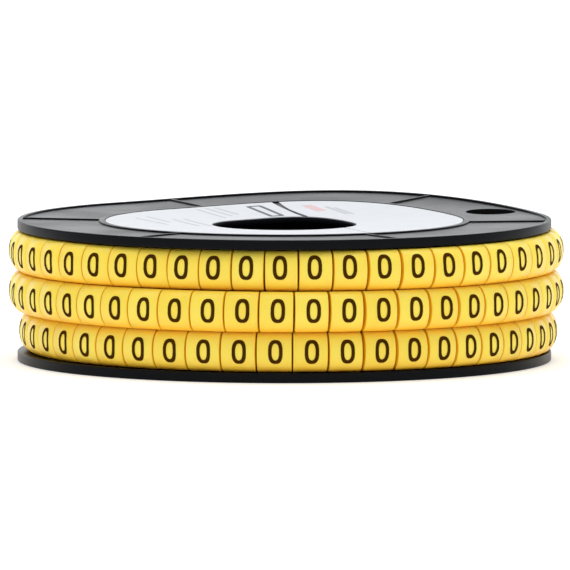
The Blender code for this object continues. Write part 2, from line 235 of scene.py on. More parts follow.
def ranged(material, source, low, high, to_low=0.0, to_high=1.0):
    """The source's range from low to high, stretched to another range and held at its ends."""
    scaled = material.node_tree.nodes.new("ShaderNodeMapRange")
    for socket, value in (("From Min", low), ("From Max", high), ("To Min", to_low),
                          ("To Max", to_high)):
        scaled.inputs[socket].default_value = value
    material.node_tree.links.new(source, scaled.inputs["Value"])
    return scaled.outputs["Result"]


def painted(material, name):
    """A value that is stored on the piece's vertices."""
    attribute = material.node_tree.nodes.new("ShaderNodeAttribute")
    attribute.attribute_name = name
    return attribute.outputs["Fac"]


def fine_bump(material, shader, source, strength, distance):
    bump = material.node_tree.nodes.new("ShaderNodeBump")
    bump.inputs["Strength"].default_value = strength
    bump.inputs["Distance"].default_value = distance
    material.node_tree.links.new(source, bump.inputs["Height"])
    material.node_tree.links.new(bump.outputs["Normal"], shader.inputs["Normal"])


# %% [markdown]
# ## Black plastic
# The reel is moulded in black polystyrene with a satin face. Black plastic shows almost no colour
# of its own: what the eye sees is the room in it, and at a grazing angle that mirror turns pale
# grey. So the base stays nearly black, the roughness wanders a little, and a very fine bump
# stands for the eroded face of the mould.

# %% Black plastic
BLACK = (0.0034, 0.0042, 0.0056, 1.0)

plastic, shader = new_material("satin_black_plastic", {"Base Color": BLACK, "IOR": 1.15})
rough = ranged(plastic, noise(plastic, scale=60.0, detail=5.0), low=0.3, high=0.7,
               to_low=0.27, to_high=0.36)
plastic.node_tree.links.new(rough, shader.inputs["Roughness"])
fine_bump(plastic, shader, noise(plastic, scale=2600.0), strength=0.12, distance=0.00005)

# %% [markdown]
# ## The reel's two halves
# Each half is a thin disc with a raised lip, a raised ring round the label's seat and six ribs,
# and carries one sleeve of the drum. It is a turned section, so it is spun. The section's corners
# are rounded as a mould leaves them, more at the rim than elsewhere. The upper disc of this reel
# is bent: its far side stands up, so its points are lifted after everything else is cut.

# %% Sizes of the reel
REEL_RADIUS = 0.0550
RIM_THICKNESS = 0.0020
LIP_WIDTH = 0.0011
LIP_HEIGHT = 0.00034
RING_WIDTH = 0.0012
RING_DROP = 0.00025
RIB_COUNT = 6
RIB_WIDTH = 0.0009
RIB_HEIGHT = 0.0003
RIB_TAPER = 0.7  # width of a rib's top beside its foot
RIB_ROUND = 0.0001
RIB_TURN = math.radians(-4.0)
HOLE_RADIUS = 0.01475
HUB_EDGE = 0.0010
LABEL_RADIUS = 0.0368
LABEL_MARGIN = 0.0002
LABEL_DISH = 0.00085
SEAT_DEPTH = 0.00053
REEL_HEIGHT = 0.02911
DRUM_RADIUS = 0.0383
DRUM_INSIDE = 0.0367
SLEEVE_RADIUS = 0.0364
SLEEVE_INSIDE = 0.0352
SLEEVE_TOP = 0.0140
DRUM_FOOT = 0.0023  # the upper half's sleeve ends just over the lower disc
BEAD_CREST = 0.0120
BEAD_DEPTH = 0.0005
BEAD_HALF = 0.0006
GROOVE_HALF = 0.0009
SLEEVE_TAPER = 0.0004
SEAT_RADIUS = LABEL_RADIUS + LABEL_MARGIN
RING_RADIUS = SEAT_RADIUS + RING_WIDTH
REEL_STEPS = 180
RIM_ROUND = 0.0003
EDGE_ROUND = 0.00012

LIFT = 0.0017
LIFT_ANGLE = math.radians(72.0)
LIFT_SPREAD = math.radians(58.0)


def lift_at(x, y):
    """How far the bent upper disc stands up over a point."""
    turn = abs(math.remainder(math.atan2(y, x) - LIFT_ANGLE, 2 * math.pi))
    if turn >= LIFT_SPREAD:
        return 0.0
    swell = (1 + math.cos(math.pi * turn / LIFT_SPREAD)) / 2
    return LIFT * swell * math.hypot(x, y) / REEL_RADIUS


def bend_up(bm, above):
    for vert in bm.verts:
        if vert.co.z > above:
            vert.co.z += lift_at(vert.co.x, vert.co.y)


# %% Section of a disc
def disc_section(side):
    """Corners of a disc from the spindle hole to the rim; side is 1 for the upper disc."""
    lip_inside = REEL_RADIUS - LIP_WIDTH
    corners = [
        (HOLE_RADIUS, SEAT_DEPTH + LABEL_DISH + HUB_EDGE, EDGE_ROUND),
        (HOLE_RADIUS, SEAT_DEPTH + LABEL_DISH, EDGE_ROUND),
        (SEAT_RADIUS, SEAT_DEPTH, 0),
        (SEAT_RADIUS, RING_DROP, EDGE_ROUND),
        (RING_RADIUS, RING_DROP, EDGE_ROUND),
        (RING_RADIUS, RING_DROP + LIP_HEIGHT, 0),
        (lip_inside, LIP_HEIGHT, 0),
        (lip_inside, 0.0, EDGE_ROUND),
        (REEL_RADIUS, 0.0, RIM_ROUND),
        (REEL_RADIUS, RIM_THICKNESS, RIM_ROUND),
    ]
    if side > 0:
        return [(radius, REEL_HEIGHT - depth, rounding) for radius, depth, rounding in corners]
    return corners


UPPER_SLEEVE = [
    (DRUM_RADIUS, REEL_HEIGHT - RIM_THICKNESS, 0),
    (DRUM_RADIUS, DRUM_FOOT, EDGE_ROUND),
    (DRUM_INSIDE, DRUM_FOOT, EDGE_ROUND),
    (DRUM_INSIDE, BEAD_CREST - GROOVE_HALF, 0),
    (DRUM_INSIDE + BEAD_DEPTH, BEAD_CREST, 0),
    (DRUM_INSIDE, BEAD_CREST + GROOVE_HALF, 0),
    (DRUM_INSIDE, REEL_HEIGHT - RIM_THICKNESS, 0),
]
LOWER_SLEEVE = [
    (SLEEVE_RADIUS, RIM_THICKNESS, 0),
    (SLEEVE_RADIUS, BEAD_CREST - BEAD_HALF, 0),
    (SLEEVE_RADIUS + BEAD_DEPTH, BEAD_CREST, 0),
    (SLEEVE_RADIUS, BEAD_CREST + BEAD_HALF, 0),
    (SLEEVE_RADIUS - SLEEVE_TAPER, SLEEVE_TOP, 0),
    (SLEEVE_INSIDE, SLEEVE_TOP, EDGE_ROUND),
    (SLEEVE_INSIDE, RIM_THICKNESS, 0),
]


# %% Ribs, hole for the strip's end and slots of the sleeve
STRIP_HOLE_RADIUS = 0.00515
STRIP_HOLE_REACH = 0.0475
STRIP_HOLE_ANGLE = math.radians(26.0)
STRIP_HOLE_ROUND = 0.0002
STRIP_HOLE_STEPS = 48
SLOT_COUNT = 6
SLOT_WIDTH = 0.0015
SLOT_DEPTH = 0.0080


def disc_ribs(side):
    """Six bars with rounded tops from the ring to the lip, tapered as a mould needs."""
    start = RING_RADIUS - RING_WIDTH / 2
    end = REEL_RADIUS - LIP_WIDTH / 2
    bm = bmesh.new()
    for number in range(RIB_COUNT):
        bar = bmesh.ops.create_cube(bm, size=1.0)["verts"]
        crest = [vert for vert in bar if vert.co.z > 0]
        for vert in bar:
            outer, top = vert.co.x > 0, vert in crest
            depth = LIP_HEIGHT - RIB_HEIGHT if top else 2 * LIP_HEIGHT
            drop = depth + (0 if outer else RING_DROP)
            vert.co.x = end if outer else start
            vert.co.y *= RIB_WIDTH * (RIB_TAPER if top else 1.0)
            vert.co.z = REEL_HEIGHT - drop if side > 0 else drop
        tops = [edge for edge in distinct(edge for vert in crest for edge in vert.link_edges)
                if edge.verts[0] in crest and edge.verts[1] in crest
                and abs(edge.verts[0].co.y - edge.verts[1].co.y) < WELD]
        before = set(bm.verts) - set(bar)
        bmesh.ops.bevel(bm, geom=tops, offset=RIB_ROUND, segments=2, profile=0.5,
                        affect="EDGES", material=-1)
        whole = [vert for vert in bm.verts if vert not in before]
        turn = Matrix.Rotation(RIB_TURN + number * 2 * math.pi / RIB_COUNT, 3, "Z")
        bmesh.ops.rotate(bm, verts=whole, cent=(0, 0, 0), matrix=turn)
    return loose_tool("ribs", bm)


def strip_hole():
    """A round cutter that flares at the disc's face, so that the hole's edge is rounded."""
    face = REEL_HEIGHT - LIP_HEIGHT
    flare = STRIP_HOLE_RADIUS + STRIP_HOLE_ROUND
    halfway = 0.3 * STRIP_HOLE_ROUND
    corners = [
        (0.0, REEL_HEIGHT - 2 * RIM_THICKNESS, 0),
        (STRIP_HOLE_RADIUS, REEL_HEIGHT - 2 * RIM_THICKNESS, 0),
        (STRIP_HOLE_RADIUS, face - STRIP_HOLE_ROUND, 0),
        (STRIP_HOLE_RADIUS + halfway, face - halfway, 0),
        (flare, face, 0),
        (flare, REEL_HEIGHT + LIFT, 0),
        (0.0, REEL_HEIGHT + LIFT, 0),
    ]
    bm = turned(corners, STRIP_HOLE_STEPS)
    place = Vector((math.cos(STRIP_HOLE_ANGLE), math.sin(STRIP_HOLE_ANGLE), 0)) * STRIP_HOLE_REACH
    bmesh.ops.translate(bm, verts=bm.verts[:], vec=place)
    return loose_tool("strip_hole", bm)


def sleeve_slots():
    """Cuts that let the lower sleeve spring in when the halves are pressed together."""
    wall = SLEEVE_RADIUS - SLEEVE_INSIDE
    bm = bmesh.new()
    for number in range(SLOT_COUNT):
        box = bmesh.ops.create_cube(bm, size=1.0)["verts"]
        bmesh.ops.scale(bm, verts=box, vec=(3 * wall, SLOT_WIDTH, 2 * SLOT_DEPTH))
        bmesh.ops.translate(bm, verts=box, vec=(SLEEVE_RADIUS - wall / 2, 0, SLEEVE_TOP))
        turn = Matrix.Rotation((number + 0.5) * 2 * math.pi / SLOT_COUNT, 3, "Z")
        bmesh.ops.rotate(bm, verts=box, cent=(0, 0, 0), matrix=turn)
    return loose_tool("slots", bm)


# %% Upper and lower half
upper = joined_or_cut(turned(disc_section(1) + UPPER_SLEEVE, REEL_STEPS),
                      [(disc_ribs(1), "UNION"), (strip_hole(), "DIFFERENCE")])
bend_up(upper, REEL_HEIGHT - SEAT_DEPTH - LABEL_DISH - HUB_EDGE - WELD)
show("upper_reel_half", weighted("upper_reel_half", mesh_from(upper, "upper", plastic)),
     "reel_upper_half")

lower = joined_or_cut(turned(disc_section(-1) + LOWER_SLEEVE, REEL_STEPS),
                      [(disc_ribs(-1), "UNION"), (sleeve_slots(), "DIFFERENCE")])
show("lower_reel_half", weighted("lower_reel_half", mesh_from(lower, "lower", plastic)),
     "reel_lower_half")

# %% [markdown]
# ## Paper label
# A thin white ring lies in the dished seat. It was cut open once so that it could be laid round
# the spindle hole, and the cut has sprung a little apart on the far side. The ring is spun like
# the disc. The cut is a long thin wedge, slightly bowed, that is taken out of it, and a fine
# score beside the hole is made with the same tool, only shallow.

# %% Paper
PAPER_DARK = (0.625, 0.645, 0.68)
PAPER_LIGHT = (0.645, 0.665, 0.70)

paper, shader = new_material("coated_paper", {"IOR": 1.2, "Roughness": 0.45})
fibre = noise(paper, scale=300.0, detail=6.0)
tint = two_shades(paper, fibre, PAPER_DARK, PAPER_LIGHT, start=0.35, end=0.65)
paper.node_tree.links.new(tint, shader.inputs["Base Color"])
fine_bump(paper, shader, fibre, strength=0.15, distance=0.00003)

# %% Label
LABEL_THICKNESS = 0.00015
LABEL_INNER = HOLE_RADIUS + 0.00015
LABEL_TOP = REEL_HEIGHT - RING_DROP - 0.0001
LABEL_SLOPE = LABEL_DISH / (SEAT_RADIUS - HOLE_RADIUS)
FAR_CUT_WIDTHS = (0.0015, 0.0012, 0.0008)  # by the rim, by the hole and half way
FAR_CUT_BOW = 0.0006
SCORE_LINE = ((0.0121, -0.0070), (0.0182, -0.0340))
SCORE_WIDTHS = (0.0004, 0.0004, 0.0004)
SCORE_DEPTH = 0.00012
RIGHT_THROUGH = 0.003
CUTTER_HEIGHT = 0.008


def label_height(x, y):
    """Height of the paper's upper face over a point, with the bend of the disc under it."""
    fall = LABEL_SLOPE * (SEAT_RADIUS - math.hypot(x, y))
    return LABEL_TOP - fall + lift_at(x, y)


def polar(radius, degrees):
    return (radius * math.cos(math.radians(degrees)), radius * math.sin(math.radians(degrees)))


def paper_cut(line, widths, depth, bow=0.0):
    """A standing wedge along a bowed line, with a width for each end and one for half way."""
    bm = bmesh.new()
    bar = bmesh.ops.create_grid(bm, x_segments=1, y_segments=4, size=0.5)["verts"]
    start, end = Vector(line[0]), Vector(line[1])
    along = end - start
    side = Vector((along.y, -along.x)).normalized()
    for vert in bar:
        share = vert.co.y + 0.5
        ends = widths[0] if share < 0.5 else widths[1]
        span = widths[2] + abs(share - 0.5) * 2 * (ends - widths[2])
        bowed = bow * (1 - (2 * share - 1) ** 2)
        spot = start + along * share + side * (vert.co.x * span + bowed)
        vert.co = (spot.x, spot.y, label_height(spot.x, spot.y) - depth)
    bmesh.ops.translate(bm, verts=drawn_out(bm, bm.faces[:])[1], vec=(0, 0, CUTTER_HEIGHT))
    return loose_tool("paper_cut", bm)


inner_top = LABEL_TOP - LABEL_SLOPE * (SEAT_RADIUS - LABEL_INNER)
outer_top = LABEL_TOP - LABEL_SLOPE * LABEL_MARGIN
label_section = [
    (LABEL_INNER, inner_top - LABEL_THICKNESS, 0),
    (LABEL_INNER, inner_top, 0),
    (LABEL_RADIUS, outer_top, 0),
    (LABEL_RADIUS, outer_top - LABEL_THICKNESS, 0),
]
far_cut_line = (polar(SEAT_RADIUS, 93.0), polar(HOLE_RADIUS, 72.2))
far_cut = paper_cut(far_cut_line, FAR_CUT_WIDTHS, RIGHT_THROUGH, FAR_CUT_BOW)
score = paper_cut(SCORE_LINE, SCORE_WIDTHS, SCORE_DEPTH)
label = joined_or_cut(turned(label_section, REEL_STEPS),
                      [(far_cut, "DIFFERENCE"), (score, "DIFFERENCE")])
bend_up(label, 0.0)
show("paper_label", weighted("paper_label", mesh_from(label, "label", paper)),
     "label")

# %% [markdown]
# The label's printing is kept as plain fields: a few thin grey bars, an outlined box and a pale
# red field. Each bar is a strip of squares that is laid on the dished paper and then given a
# little depth, so it follows the paper's bend.

# %% Ink
def ink(name, dark, light, ior=1.2):
    """A dull printing ink, speckled between two shades."""
    made, shader = new_material(name, {"Roughness": 0.5, "IOR": ior})
    tint = two_shades(made, noise(made, scale=900.0), dark, light)
    made.node_tree.links.new(tint, shader.inputs["Base Color"])
    return made


grey_ink = ink("grey_ink", (0.09, 0.10, 0.12), (0.13, 0.14, 0.16))
pale_grey_ink = ink("pale_grey_ink", (0.46, 0.48, 0.51), (0.54, 0.56, 0.59))
pale_red_ink = ink("pale_red_ink", (0.64, 0.44, 0.45), (0.69, 0.51, 0.52))
brown_ink = ink("brown_ink", (0.042, 0.017, 0.001), (0.070, 0.027, 0.002), ior=1.05)

# %% Bars on the label
MM = 0.001
PRINT_PROUD = 0.00003
PRINT_DEPTH = 0.00008
GREY_BARS = (  # x and y of both ends, then the width, in millimetres
    (-7.6, 31.4, -2.7, 16.4, 0.8), (-5.1, 31.9, -0.4, 16.8, 0.8),
    (-7.8, 31.3, -4.9, 32.1, 1.1), (-2.9, 16.2, -0.2, 16.9, 1.1))
FAINT_BARS = (
    (-18.1, 28.4, -12.1, 14.2, 0.6), (-16.3, 30.1, -10.8, 17.8, 0.6),
    (-14.4, 31.0, -9.5, 20.2, 0.6), (-30.6, 8.1, -24.0, -5.1, 0.6),
    (-28.4, 12.0, -23.6, 1.6, 0.6), (-20.7, 9.7, -14.9, -4.8, 0.6),
    (-22.9, 8.0, -17.6, -6.0, 0.6), (8.6, 27.5, 13.0, 17.0, 0.9), (10.4, 26.0, 14.2, 17.4, 0.6))
RED_BARS = ((4.6, 30.2, 7.7, 21.6, 2.2),)


def print_bars(name, bars, material):
    bm = bmesh.new()
    for x_start, y_start, x_end, y_end, width in bars:
        start, end = Vector((x_start, y_start)) * MM, Vector((x_end, y_end)) * MM
        along = end - start
        side = Vector((along.y, -along.x)).normalized() * width * MM
        bar = bmesh.ops.create_grid(bm, x_segments=2, y_segments=12, size=0.5)["verts"]
        for vert in bar:
            spot = start + along * (vert.co.y + 0.5) + side * vert.co.x
            vert.co = (spot.x, spot.y, label_height(spot.x, spot.y) + PRINT_PROUD)
        cells = distinct(cell for vert in bar for cell in vert.link_faces)
        bmesh.ops.translate(bm, verts=drawn_out(bm, cells)[1], vec=(0, 0, -PRINT_DEPTH))
    show(name, mesh_from(bm, name, material))


print_bars("printed_box", GREY_BARS, grey_ink)
print_bars("printed_lines", FAINT_BARS, pale_grey_ink)
print_bars("printed_field", RED_BARS, pale_red_ink)

# %% [markdown]
# ## The strip's way round the reel
# The outermost turns start at a free end behind the reel, fill the top row, step down a row at
# each crossing, and dive under the others at the end. One function gives the strip's station at
# any angle: how high it is, how far out its printed face lies, and how wide it is there.

# %% The way of the strip
ROWS = 3
MARKER_WIDTH = 0.00822
MARKER_HEIGHT = 0.0062
MARKER_CROWN = 0.0026
MARKER_PITCH = 0.00653
WEB_THICKNESS = 0.0009
CUT_AT_WEB = 0.0001
CUT_AT_FACE = (  # the cuts stand open where the strip is bent most, by the angle round the reel
    (0, 0.00022), (180, 0.00022), (245, 0.00030), (272, 0.00045), (288, 0.00070), (304, 0.00065),
    (318, 0.00035), (335, 0.00022))
CUT_SPREAD = 0.25
MARKER_LEAN = math.radians(1.2)
ROW_PITCH = 0.00827
TOP_GAP = 0.00027
WINDING_RADIUS = 0.0572
LAST_ROW_DROP = 0.0017
ROW_SHIFT = 0.0004
LAST_ROW_SHIFT = 0.0008
CROSSING_SPAN = math.radians(46.0)
CROSSING_START = math.radians(73.5) - CROSSING_SPAN / 2
CROSSING_SQUEEZE = 0.0003
FREE_END = CROSSING_SPAN + math.radians(1.2)
PITCH_SHARES = (  # the strip is stretched and pushed together a little, by the angle along its way
    (98, 1.004), (180, 1.005), (215, 0.987), (245, 0.957), (275, 1.007), (310, 1.011),
    (350, 1.023), (540, 0.992), (570, 0.934), (600, 0.980), (640, 1.004), (690, 0.970),
    (730, 1.011), (900, 1.003), (940, 1.000), (980, 1.022), (1010, 0.987), (1045, 0.913),
    (1090, 0.972))
DIVE_SPAN = math.radians(26.0)
DENT = 0.0022  # the top row is pressed in at the front by this much
DENT_ANGLE = math.radians(260.0)
DENT_SPREAD = math.radians(50.0)
TURN = 2 * math.pi
MARKER_ANGLE = MARKER_PITCH / (WINDING_RADIUS - MARKER_HEIGHT)
Station = namedtuple("Station", "level radius shift width")


def eased(share):
    share = min(max(share, 0.0), 1.0)
    return share * share * (3 - 2 * share)


def row_height(level):
    top = REEL_HEIGHT - RIM_THICKNESS - TOP_GAP - MARKER_WIDTH / 2
    return top - level * ROW_PITCH


def outer_way(turn):
    """Station of the outermost turns; its radius is that of the printed face."""
    turns_done = int(turn / TURN)
    past = turn - turns_done * TURN
    level = min(max(turns_done - 1 + eased(past / CROSSING_SPAN), 0.0), ROWS - 1)
    last = min(max(level - (ROWS - 2), 0.0), 1.0)
    radius = WINDING_RADIUS - LAST_ROW_DROP * last
    dive = eased((turn - ROWS * TURN + DIVE_SPAN) / DIVE_SPAN)
    radius -= (radius - WINDING_RADIUS + MARKER_HEIGHT) * dive
    past_end = min(max(past - CROSSING_SPAN, 0.0), TURN - past)
    squeeze = CROSSING_SQUEEZE * max(1 - past_end / MARKER_ANGLE, 0.0)
    shift = ROW_SHIFT + (LAST_ROW_SHIFT - ROW_SHIFT) * last
    return Station(row_height(level), radius - dent_at(turn), shift, MARKER_WIDTH - squeeze)


def under_way(turn):
    """The same for the second layer, which shows only where the top row is empty."""
    return Station(row_height(0), WINDING_RADIUS - MARKER_HEIGHT, ROW_SHIFT, MARKER_WIDTH)


def dent_at(turn):
    """How far the first turn of the top row is pressed in."""
    past = abs(CROSSING_START + turn - DENT_ANGLE)
    return DENT * (1 + math.cos(math.pi * past / DENT_SPREAD)) / 2 if past < DENT_SPREAD else 0.0


def between(stops, value, curve=float):
    """Value between the (place, value) stops of a table, in straight lines or along a curve."""
    if value <= stops[0][0]:
        return stops[0][1]
    for (before, low), (after, high) in zip(stops, stops[1:]):
        if value <= after:
            return low + (high - low) * curve((value - before) / (after - before))
    return stops[-1][1]


def marker_step(way, turn):
    """Angle that one marker takes."""
    if way is under_way:
        return MARKER_PITCH / (way(turn).radius - MARKER_HEIGHT)
    share = between(PITCH_SHARES, math.degrees(CROSSING_START + turn))
    return share * MARKER_PITCH / (way(turn).radius + dent_at(turn) - MARKER_HEIGHT)


def strip_point(station, turn, across, height, slip=0.0):
    """A point of the strip: across its width, above its root, and slipped along it."""
    reach = station.radius - MARKER_HEIGHT + height
    angle = CROSSING_START + turn + slip / reach
    return Vector((math.cos(angle) * reach + station.shift, math.sin(angle) * reach,
                   station.level + across))


# %% [markdown]
# ## One marker
# A marker is a short length of the oval tube: flat where it lies on the layer below and domed
# where it is printed. A circle of points is pressed into that section, filled and drawn out to a
# block, and its cut ends get a small lip. The same block is then laid at every station, 150 times
# over, so it keeps few faces. Each copy is wedged between two cuts that are open at the face and
# closed at the web, and each cut is a little different.

# %% The block of a marker
SECTION_STEPS = 18
DOME_STEPS = 11
LIP = 0.00018
FLATNESS = 0.4  # power of the flat sides and root; at 1 they would be round
WALL = 0.0010
OPEN_MARKERS = 3  # the tube's bore is made in this many markers of the free end


def section_point(number, inset=0.0):
    """Share across and height above the root for a point of the section, from side to side."""
    shoulder = MARKER_HEIGHT - MARKER_CROWN
    if number <= DOME_STEPS:
        angle = math.pi * number / DOME_STEPS
        power, rise = 1.0, MARKER_CROWN
    else:
        angle = math.pi * (1 + (number - DOME_STEPS) / (SECTION_STEPS - DOME_STEPS))
        power, rise = FLATNESS, shoulder
    cosine, sine = math.cos(angle), math.sin(angle)
    across = math.copysign(abs(cosine) ** power, cosine) * (1 - inset / (MARKER_WIDTH / 2))
    height = shoulder + math.copysign(abs(sine) ** power, sine) * (rise - inset)
    return across, height


def marker_block(name, hollow):
    """The block as (along, across share, height) vertices in a small mesh, along from 0 to 1."""
    bm = bmesh.new()
    ring = bmesh.ops.create_circle(bm, cap_ends=True, segments=SECTION_STEPS, radius=1.0)["verts"]
    ring.sort(key=lambda vert: math.atan2(vert.co.y, vert.co.x) % TURN)
    layers = [(0.0, LIP), (LIP / MARKER_PITCH, 0.0), (1 - LIP / MARKER_PITCH, 0.0), (1.0, LIP)]
    face = bm.faces[:]
    order = ring
    for along, inset in layers:
        if along > 0.0:
            face, fresh = drawn_out(bm, face)
            order = [next(edge.other_vert(vert) for edge in vert.link_edges
                          if edge.other_vert(vert) in fresh) for vert in order]
        for number, vert in enumerate(order):
            across, height = section_point(number, inset)
            vert.co = (along, across, height)
    if hollow:
        ends = [end for end in bm.faces if len(end.verts) == SECTION_STEPS]
        bmesh.ops.inset_individual(bm, faces=ends, thickness=0.0)
        for vert in {vert for end in ends for vert in end.verts}:
            vert.co.y *= 1 - 2 * WALL / MARKER_WIDTH
            vert.co.z = WALL + vert.co.z * (1 - 2 * WALL / MARKER_HEIGHT)
        bmesh.ops.delete(bm, geom=ends, context="FACES_ONLY")
        bmesh.ops.bridge_loops(bm, edges=[edge for edge in bm.edges if edge.is_boundary])
    bmesh.ops.recalc_face_normals(bm, faces=bm.faces[:])
    block = bpy.data.meshes.new(name)
    bm.to_mesh(block)
    bm.free()
    print(name, len(block.polygons), "faces")
    return block


closed_block = marker_block("closed_block", False)
open_block = marker_block("open_block", True)

# %% Lay the markers
UPPER_SIDE_SHADE = 0.1  # share of the painted warm side shade that the upper side gets beside the lower one
UNDER_COUNT = 4  # markers of the second layer that lie under the hole in the upper disc
SLACK = 0.01  # of a marker, so that just that many fit in
SKIPPED_DRAWS = 14  # the outermost cuts were matched to the photo with the draws after these

strip = bmesh.new()
strip.verts.layers.float.new("tone")
strip.verts.layers.float.new("cut_shade")
strip.verts.layers.float.new("side")
Marker = namedtuple("Marker", "way turn step cut lean")


def on_marker(marker, along, across, height):
    """Place of a point of a marker: from cut to cut, from side to side and above its root."""
    opening = (CUT_AT_WEB + (marker.cut - CUT_AT_WEB) * height / MARKER_HEIGHT) / 2
    slant = math.tan(marker.lean) * across * MARKER_WIDTH / 2 * height / MARKER_HEIGHT
    last = marker.turn + marker.step
    ends = []
    for turn, slip in ((marker.turn, slant + opening), (last, slant - opening)):
        station = marker.way(turn)
        ends.append(strip_point(station, turn, across * station.width / 2, height, slip))
    return ends[0].lerp(ends[1], along)


def paint(vert, shade, cut_shade, across):
    """Notes for the material: the marker's random shade, where the painted cut shade goes, and how
    much painted warm shade the side gets.
    """
    vert[strip.verts.layers.float["tone"]] = shade
    vert[strip.verts.layers.float["cut_shade"]] = cut_shade
    vert[strip.verts.layers.float["side"]] = abs(across) ** 3 * (UPPER_SIDE_SHADE if across > 0 else 1.0)


def added(mesh):
    """Puts a mesh into the strip and gives back its vertices there."""
    known = len(strip.verts)
    strip.from_mesh(mesh)
    strip.verts.ensure_lookup_table()
    return strip.verts[known:]


# The cut ends of the closed markers get a painted shade; the open ones at the free end have light
# in them and keep the yellow.
def lay_marker(marker, shade, block):
    for vert in added(block):
        cut_shade = 1.0 if block is closed_block and vert.co.x in (0.0, 1.0) else 0.0
        paint(vert, shade, cut_shade, vert.co.y)
        vert.co = on_marker(marker, *vert.co)


def lay_run(way, start, end, rng, shades, open_ones=0):
    """Lays markers from one angle to another, and gives back a list of them."""
    laid = []
    turn = start
    step = marker_step(way, turn)
    while turn + step <= end:
        opening = between(CUT_AT_FACE, math.degrees(CROSSING_START + turn) % 360)
        cut = opening * (1 + rng.uniform(-1, 1) * CUT_SPREAD)
        lean = rng.uniform(-1, 1) * MARKER_LEAN
        marker = Marker(way, turn, step, cut, lean)
        lay_marker(marker, shades.random(), open_block if len(laid) < open_ones else closed_block)
        laid.append(marker)
        turn += step
        step = marker_step(way, turn)
    return laid


rng = random.Random(5)
shades = random.Random(11)
margin = MARKER_PITCH / WINDING_RADIUS
under_markers = lay_run(under_way, -margin, CROSSING_SPAN + margin, rng, shades)
for skipped in range(SKIPPED_DRAWS):
    rng.uniform(-1, 1)
markers = lay_run(outer_way, FREE_END, ROWS * TURN + CROSSING_SPAN + margin, rng, shades,
                  OPEN_MARKERS)
print(len(markers), "markers in the outermost turns")
under_step = marker_step(under_way, 0.0)
lay_run(under_way, -margin - (UNDER_COUNT + SLACK) * under_step, -margin, rng, shades)

# %% [markdown]
# The web is the uncut wall of the tube at the foot of the markers. It is one long thin band, so
# it is drawn as a short edge-on rectangle that is extruded from marker to marker.

# %% Web
WEB_SHARE = 0.93
WEB_ROOT = 0.0002


def web_corners(way, turn):
    station = way(turn)
    half = station.width / 2 * WEB_SHARE
    return [strip_point(station, turn, across, height)
            for across, height in ((-half, WEB_ROOT), (half, WEB_ROOT), (half, WEB_THICKNESS),
                                   (-half, WEB_THICKNESS))]


# The web is painted with the cut shade, as painted shade deep in the cuts and row gaps.
def lay_web(way, turns):
    order = [strip.verts.new(place) for place in web_corners(way, turns[0])]
    for vert in order:
        paint(vert, shade=0.5, cut_shade=1.0, across=-1.0)
    face = [strip.faces.new(order)]
    for turn in turns[1:]:
        face, fresh = drawn_out(strip, face)
        order = [next(edge.other_vert(vert) for edge in vert.link_edges
                      if edge.other_vert(vert) in fresh) for vert in order]
        for vert, place in zip(order, web_corners(way, turn)):
            vert.co = place
            paint(vert, shade=0.5, cut_shade=1.0, across=-1.0)


lay_web(outer_way, [marker.turn for marker in markers] + [markers[-1].turn + markers[-1].step])
lay_web(under_way, [-margin + number * under_step
                    for number in range(-UNDER_COUNT, len(under_markers) + 1)])
print(len(strip.faces), "faces with the web")

# %% [markdown]
# Under the outermost turns the drum is full of earlier turns. Nothing of them shows but their
# domed rows, so they are one spun ring. The top and bottom row of the outermost turns are empty
# behind the reel, and there the ring's rows are let down. In the top row that makes room for the
# second layer's own markers, which show behind the reel and through the hole in the upper disc.

# %% Inner turns
CORE_STEPS = 96
CORE_ARC_STEPS = 8
CORE_BOTTOM = 0.0386
CORE_SKIN = 0.0010  # what stays of the ring where a row is let down, and over the drum
CORE_PROUD = 0.0001
CORE_INSET = 0.0001
CORE_TRIM = 0.0002
CORE_MARGIN = 0.03


def inner_section():
    """A flat outline with a domed row for each row of markers, from the lowest to the top one."""
    half = MARKER_WIDTH / 2 - CORE_INSET
    corners = [(CORE_BOTTOM, row_height(ROWS - 1) - MARKER_WIDTH / 2 + CORE_TRIM, 0)]
    for row in reversed(range(ROWS)):
        top = WINDING_RADIUS - MARKER_HEIGHT + CORE_PROUD
        if row == ROWS - 1:
            top -= LAST_ROW_DROP
        for step in range(CORE_ARC_STEPS + 1):
            angle = math.pi * step / CORE_ARC_STEPS
            corners.append((top - MARKER_CROWN * (1 - math.sin(angle)),
                            row_height(row) - math.cos(angle) * half, 0))
    corners.append((CORE_BOTTOM, row_height(0) + MARKER_WIDTH / 2 - CORE_TRIM, 0))
    return corners


def inner_turns():
    bm = turned(inner_section(), CORE_STEPS)
    for vert in bm.verts:
        turn = (math.atan2(vert.co.y, vert.co.x) - CROSSING_START) % TURN
        past = (turn + math.pi) % TURN - math.pi
        reach = math.hypot(vert.co.x, vert.co.y)
        upper_row = vert.co.z > row_height(0) - MARKER_WIDTH / 2
        lower_row = vert.co.z < row_height(ROWS - 1) + MARKER_WIDTH / 2
        if reach < CORE_BOTTOM + CORE_SKIN or not (upper_row or lower_row):
            continue
        opening = -margin - UNDER_COUNT * under_step if upper_row else -DIVE_SPAN
        lowered = dent_at(turn) if upper_row else 0.0
        if opening - CORE_MARGIN < past < CROSSING_SPAN + margin + CORE_MARGIN:
            lowered = MARKER_HEIGHT - CORE_SKIN
        vert.co.x *= (reach - lowered) / reach
        vert.co.y *= (reach - lowered) / reach
    return bm


core = inner_turns()
core_mesh = bpy.data.meshes.new("inner_turns")
core.to_mesh(core_mesh)
core.free()
# The inner rows are painted with the warm side shade, all but the upper half of the top row, as
# painted shade in the crevices between the rows.
for vert in added(core_mesh):
    paint(vert, shade=0.5, cut_shade=0.0, across=0.0 if vert.co.z > row_height(0) else -1.0)
print(core_mesh.name, len(core_mesh.polygons), "faces")
